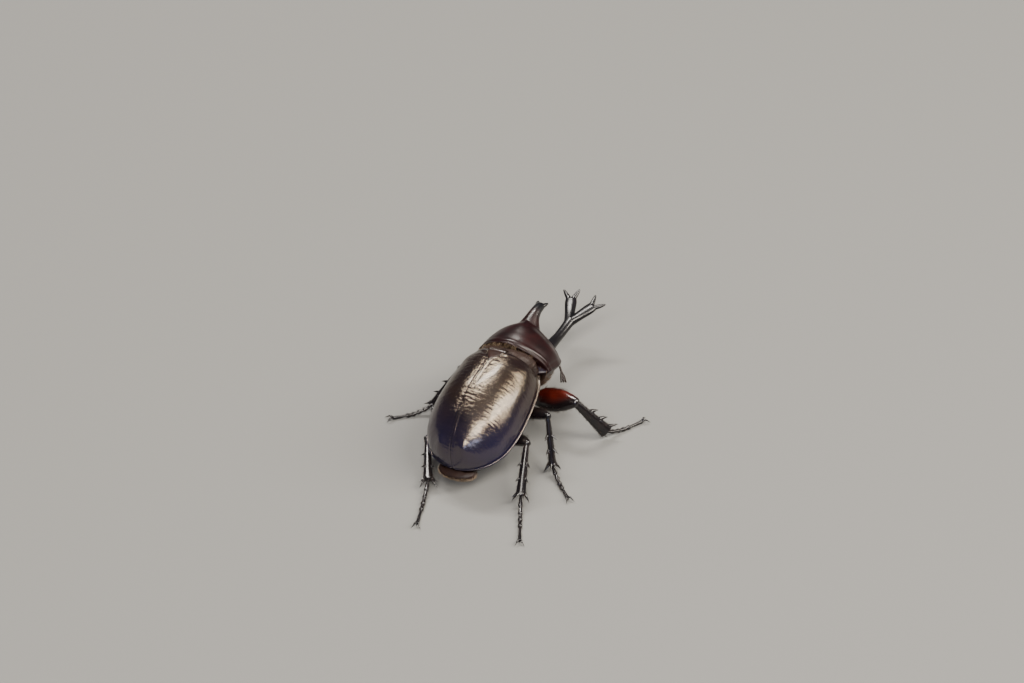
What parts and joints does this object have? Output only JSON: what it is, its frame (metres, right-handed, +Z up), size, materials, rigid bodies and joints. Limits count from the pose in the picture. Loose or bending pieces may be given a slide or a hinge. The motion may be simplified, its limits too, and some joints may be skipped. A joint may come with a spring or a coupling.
{
  "type": "japanese rhinoceros beetle",
  "caption": "Male rhinoceros beetle standing on its feet, life size, with a long forked head horn, a short forked horn on the thorax shield and closed wing cases.",
  "frame": {"origin": "centre of the bounding box's bottom face, on the floor under the feet", "axes": "+Z up; the wing cases' seam runs along Y and the head faces +Y; +X is the beetle's right"},
  "size_m": [0.065, 0.0934, 0.0273],
  "materials": {
    "bronze_shell": "smooth wing-case shell with a silky golden brown sheen",
    "maroon_shell": "glossy dark maroon shell",
    "black_shell": "glossy black shell",
    "red_brown_shell": "glossy red-brown shell",
    "dark_brown_shell": "dark brown shell, half gloss",
    "hairy_brown": "shell under short tan hairs",
    "eye_black": "polished black eye"
  },
  "bodies": {
    "root": {"abdomen": "dark_brown_shell", "antenna_left": "dark_brown_shell", "antenna_right": "dark_brown_shell", "cephalic_horn": "black_shell", "coxa_front_left": "dark_brown_shell", "coxa_front_right": "dark_brown_shell", "coxa_hind_left": "dark_brown_shell", "coxa_hind_right": "dark_brown_shell", "coxa_middle_left": "dark_brown_shell", "coxa_middle_right": "dark_brown_shell", "elytron_left": "bronze_shell", "elytron_right": "bronze_shell", "eye_left": "eye_black", "eye_right": "eye_black", "femur_front_left": "red_brown_shell", "femur_front_right": "red_brown_shell", "femur_hind_left": "dark_brown_shell", "femur_hind_right": "dark_brown_shell", "femur_middle_left": "dark_brown_shell", "femur_middle_right": "dark_brown_shell", "head": "black_shell", "mesothorax": "hairy_brown", "metathorax": "dark_brown_shell", "mouthparts": "dark_brown_shell", "palp_left": "dark_brown_shell", "palp_right": "dark_brown_shell", "pronotum": "maroon_shell", "prosternum": "dark_brown_shell", "pygidium": "hairy_brown", "scutellum": "dark_brown_shell", "tarsus_front_left": "black_shell", "tarsus_front_right": "black_shell", "tarsus_hind_left": "black_shell", "tarsus_hind_right": "black_shell", "tarsus_middle_left": "black_shell", "tarsus_middle_right": "black_shell", "thoracic_horn": "black_shell", "tibia_front_left": "black_shell", "tibia_front_right": "black_shell", "tibia_hind_left": "black_shell", "tibia_hind_right": "black_shell", "tibia_middle_left": "black_shell", "tibia_middle_right": "black_shell"}
  },
  "joints": []
}
